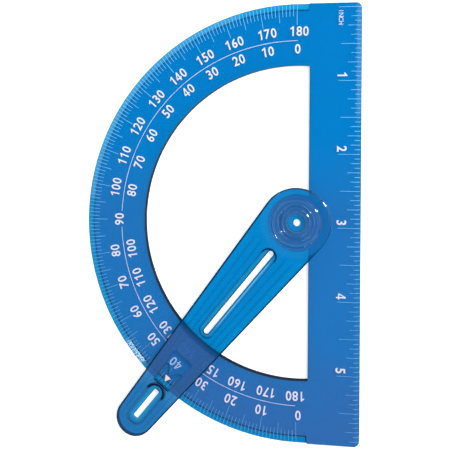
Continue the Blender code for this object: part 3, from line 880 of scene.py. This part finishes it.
class GONIOMETER_OT_ruler_marks(bpy.types.Operator):
    """Print the inch lines, figures and unit along the ruler edge."""

    bl_idname = "goniometer.ruler_marks"
    bl_label = "Ruler marks"

    def execute(self, context):
        look = context.scene.goniometer_print
        ink = look.ink_height
        creases = [(0.0, PLATE_TOP), (RULER_CREASE, PLATE_TOP), (RULER_EDGE, RULER_EDGE_TOP)]
        body = bmesh.new()
        for step in range(RULER_LINES):
            start = next(at for size, at in RULER_LINE_STARTS.items() if step % size == 0) * MM
            line = ribbon(body, over_surface(start, RULER_LINE_END, creases, ink), look.line)
            down = Vector((0.0, RULER_ZERO - step * INCH / 16, 0.0))
            bmesh.ops.translate(body, verts=line, vec=PIVOT + down)
        ink_look = print_ink("ruler ink", look.fine_ink, look.fine_ink_low, 0.45)
        new_piece("ruler_marks", body, ink_look, "plate")

        body = bmesh.new()
        sideways = Matrix.Rotation(math.radians(-90), 4, "Z")
        for inch in range(1, 6):
            above = RULER_ZERO - inch * INCH + 1.9 * MM
            placing = Matrix.Translation(PIVOT + Vector((15.5 * MM, above, PLATE_TOP))) @ sideways
            print_label(body, str(inch), look.ruler_figure, 0.9, 0.02, ink, placing)
        placing = Matrix.Translation(PIVOT + Vector((14.95 * MM, 71.3 * MM, PLATE_TOP))) @ sideways
        print_label(body, "INCH", look.unit_figure, 0.9, 0.0, ink, placing, pitch=0.86)
        figure_ink = print_ink("ruler figure ink", look.ink, look.ink_low, 0.45)
        new_piece("ruler_figures", body, figure_ink, "plate")
        return {"FINISHED"}


class GONIOMETER_OT_stage(bpy.types.Operator):
    """Lay the pale floor, hang the lamps and set the camera."""

    bl_idname = "goniometer.stage"
    bl_label = "Studio"

    def execute(self, context):
        look = context.scene.goniometer_studio
        self.lay_floor(look)
        self.light_sky(context.scene)
        self.hang_lamps(look)
        self.set_camera(context.scene, look)
        return {"FINISHED"}

    def lay_floor(self, look):
        body = bmesh.new()
        bmesh.ops.create_circle(body, cap_ends=True, segments=96, radius=FLOOR_RADIUS)
        bmesh.ops.translate(body, verts=body.verts, vec=(0.0, 0.0, -FLOOR_DROP))
        mesh = bpy.data.meshes.new("floor")
        body.to_mesh(mesh)
        body.free()
        material = bpy.data.materials.new("pale floor")
        sheet = NodeSheet(material)
        matte = sheet.add("ShaderNodeBsdfDiffuse", {"Color": look.floor})
        path = sheet.add("ShaderNodeLightPath")
        seen = sheet.math("MAXIMUM", path.outputs["Is Camera Ray"], path.outputs["Is Glossy Ray"])
        seen = sheet.math("MAXIMUM", seen, path.outputs["Is Transmission Ray"])
        strength = sheet.math("MULTIPLY", seen, FLOOR_GLOW)
        glow = sheet.add("ShaderNodeEmission", {"Strength": strength})
        both = sheet.add("ShaderNodeAddShader")
        sheet.tree.links.new(matte.outputs[0], both.inputs[0])
        sheet.tree.links.new(glow.outputs[0], both.inputs[1])
        output = sheet.add("ShaderNodeOutputMaterial")
        sheet.tree.links.new(both.outputs[0], output.inputs["Surface"])
        mesh.materials.append(material)
        floor = bpy.data.objects.new("floor", mesh)
        bpy.context.scene.collection.objects.link(floor)

    def light_sky(self, scene):
        """A room that is bright all round and dim overhead, as over a copy stand."""
        world = bpy.data.worlds.new("room")
        scene.world = world
        sheet = NodeSheet(world)
        source = sheet.add("ShaderNodeTexCoord")
        split = sheet.add("ShaderNodeSeparateXYZ", {"Vector": source.outputs["Generated"]})
        strength = sheet.ramp(split.outputs["Z"], 0.2, 0.5, 1.0, 0.03)
        glow = sheet.add("ShaderNodeBackground", {"Strength": strength})
        output = sheet.add("ShaderNodeOutputWorld")
        sheet.tree.links.new(glow.outputs[0], output.inputs["Surface"])

    def hang_lamps(self, look):
        lamps = (
            ("key", (0.55, 0.30, 0.75), 0.8, look.key),
            ("fill_left", (-0.81, 0.50, 0.56), 1.1, look.fill),
            ("fill_front", (0.45, -0.65, 0.60), 0.6, look.fill),
            ("spark", (0.43, 0.27, 0.80), 0.1, look.spark),
            ("rim_glint", (-0.657, -0.537, 0.53), 0.09, look.glint),
        )
        for name, spot, size, power in lamps:
            lamp = bpy.data.lights.new(name, "AREA")
            lamp.size = size
            lamp.energy = power
            holder = bpy.data.objects.new(name, lamp)
            holder.location = spot
            holder.rotation_mode = "QUATERNION"
            holder.rotation_quaternion = Vector(spot).to_track_quat("Z", "Y")
            bpy.context.scene.collection.objects.link(holder)

    def set_camera(self, scene, look):
        """The photograph's place, turn and framing."""
        view = Vector(CAMERA_VIEW).normalized()
        right = view.cross(Vector(CAMERA_UP)).normalized()
        up = right.cross(view)
        camera = bpy.data.cameras.new("camera")
        camera.lens = look.lens
        camera.sensor_width = 36.0
        camera.shift_y = CAMERA_SHIFT
        camera.clip_start = 0.01
        camera.clip_end = 10.0
        turn = Matrix((right, up, -view)).transposed().to_4x4()
        place = PIVOT + Vector(CAMERA_FROM_PIVOT) * MM
        holder = bpy.data.objects.new("camera", camera)
        holder.matrix_world = Matrix.Translation(place) @ turn
        scene.collection.objects.link(holder)
        scene.camera = holder
        scene.view_settings.view_transform = "Standard"


class GONIOMETER_PT_panel(bpy.types.Panel):
    """The goniometer's pieces, sizes and colours."""

    bl_idname = "GONIOMETER_PT_panel"
    bl_label = "Goniometer"
    bl_space_type = "VIEW_3D"
    bl_region_type = "UI"
    bl_category = "Goniometer"

    def draw(self, context):
        layout = self.layout
        for step in STEPS:
            layout.operator(step.bl_idname)
        for name in SETTINGS:
            group = getattr(context.scene, name)
            box = layout.box()
            for prop in group.bl_rna.properties:
                if prop.identifier not in {"rna_type", "name"}:
                    box.prop(group, prop.identifier)


SETTINGS = {
    "goniometer_plastic": PlasticLook,
    "goniometer_print": PrintLook,
    "goniometer_studio": StudioLook,
}
STEPS = (
    GONIOMETER_OT_plate,
    GONIOMETER_OT_arm,
    GONIOMETER_OT_rivet,
    GONIOMETER_OT_degree_marks,
    GONIOMETER_OT_degree_figures,
    GONIOMETER_OT_ruler_marks,
    GONIOMETER_OT_stage,
)


def register():
    for cls in (*SETTINGS.values(), *STEPS, GONIOMETER_PT_panel):
        bpy.utils.register_class(cls)
    for name, cls in SETTINGS.items():
        setattr(bpy.types.Scene, name, bpy.props.PointerProperty(type=cls))


def unregister():
    for name in SETTINGS:
        delattr(bpy.types.Scene, name)
    for cls in reversed((*SETTINGS.values(), *STEPS, GONIOMETER_PT_panel)):
        bpy.utils.unregister_class(cls)


def main():
    register()
    bpy.ops.goniometer.plate()
    bpy.ops.goniometer.arm()
    bpy.ops.goniometer.rivet()
    bpy.ops.goniometer.degree_marks()
    bpy.ops.goniometer.degree_figures()
    bpy.ops.goniometer.ruler_marks()
    bpy.ops.goniometer.stage()


if __name__ == "__main__":
    main()
